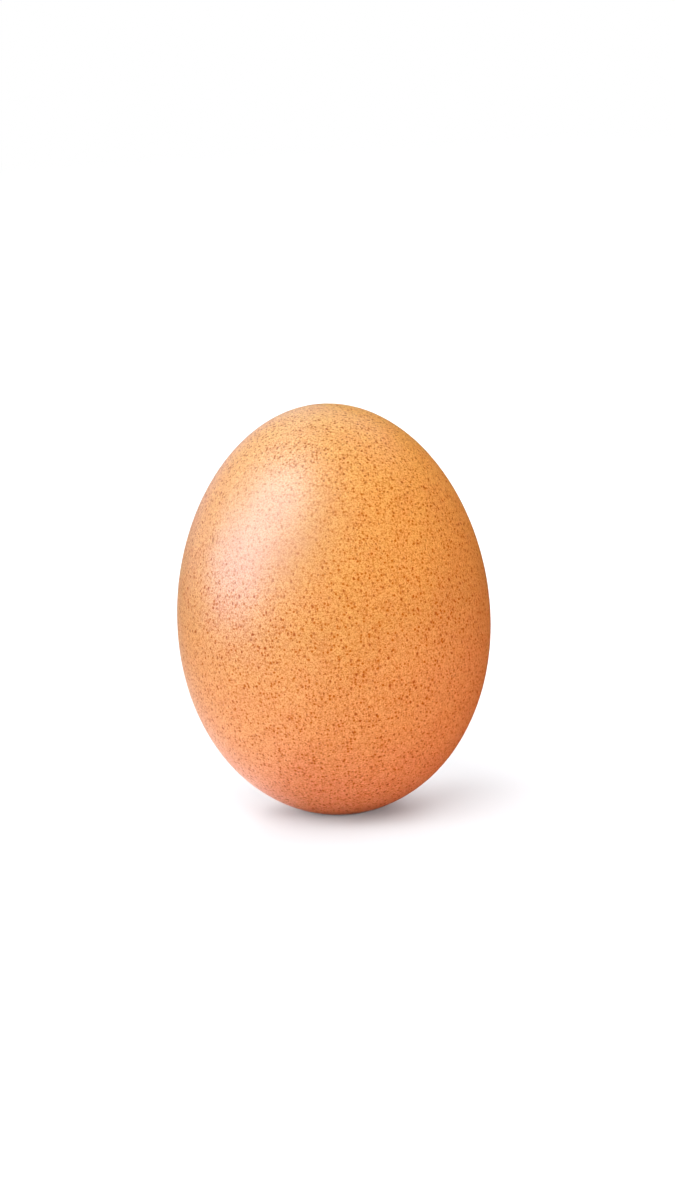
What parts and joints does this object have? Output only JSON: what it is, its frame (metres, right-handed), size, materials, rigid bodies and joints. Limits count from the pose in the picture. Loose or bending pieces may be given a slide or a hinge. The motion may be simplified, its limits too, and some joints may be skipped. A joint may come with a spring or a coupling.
{
  "type": "brown hen's egg",
  "caption": "Whole brown hen's egg with a finely speckled shell, standing upright on its blunt end on a small flat spot.",
  "frame": {"origin": "centre of the small flat spot on the blunt end that the egg rests on", "axes": "+Z along the egg's long axis, from the blunt end up to the pointed end; +X and +Y are level, and the egg is a solid of revolution, so it looks the same from every side"},
  "size_m": [0.0434, 0.0434, 0.0571],
  "materials": {
    "eggshell": "satin"
  },
  "bodies": {
    "root": {"egg": "eggshell"}
  },
  "joints": []
}
